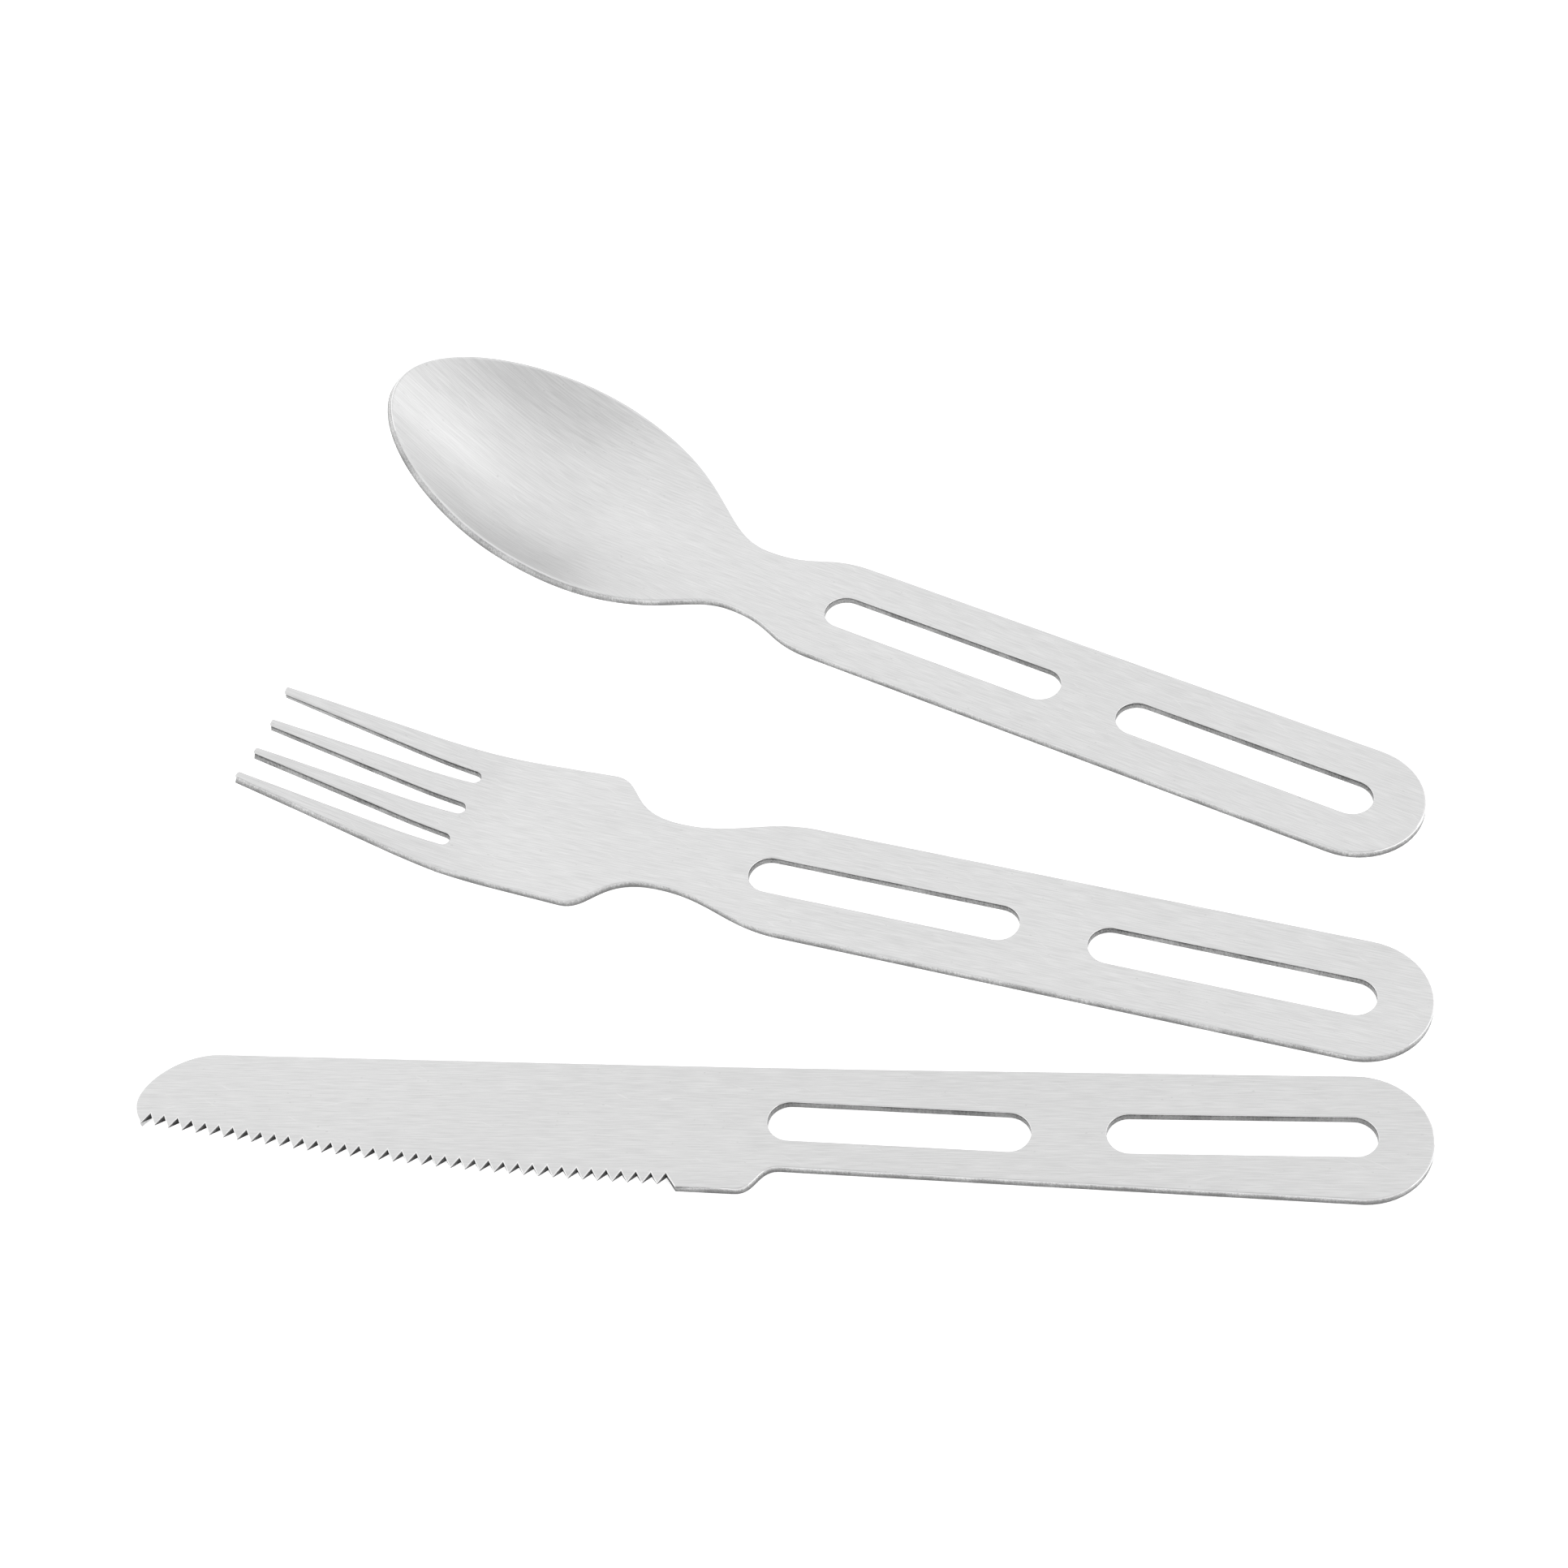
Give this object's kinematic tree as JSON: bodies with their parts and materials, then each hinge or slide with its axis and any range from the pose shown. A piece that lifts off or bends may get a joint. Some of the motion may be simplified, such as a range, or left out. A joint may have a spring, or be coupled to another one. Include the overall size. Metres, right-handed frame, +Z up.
{
  "type": "picnic cutlery set",
  "caption": "Camping spoon, fork and serrated knife stamped from stainless sheet, with long slots through their flat handles, laid side by side.",
  "frame": {"origin": "middle of the set's footprint, on the table that the pieces lie on", "axes": "+X along the fork from its tines to the end of its handle, +Y from the knife to the spoon, +Z up"},
  "size_m": [0.1926, 0.1526, 0.0207],
  "materials": {
    "steel": "satin, with a fine grain along each piece"
  },
  "bodies": {
    "knife": {"knife": "steel"},
    "spoon": {"spoon": "steel"},
    "fork": {"fork": "steel"}
  },
  "joints": [
    {"name": "spoon_lift", "type": "slide", "parent": "knife", "child": "spoon", "axis": [0, 0, 1], "range_m": [0, 0.06]},
    {"name": "fork_lift", "type": "slide", "parent": "knife", "child": "fork", "axis": [0, 0, 1], "range_m": [0, 0.06]}
  ]
}
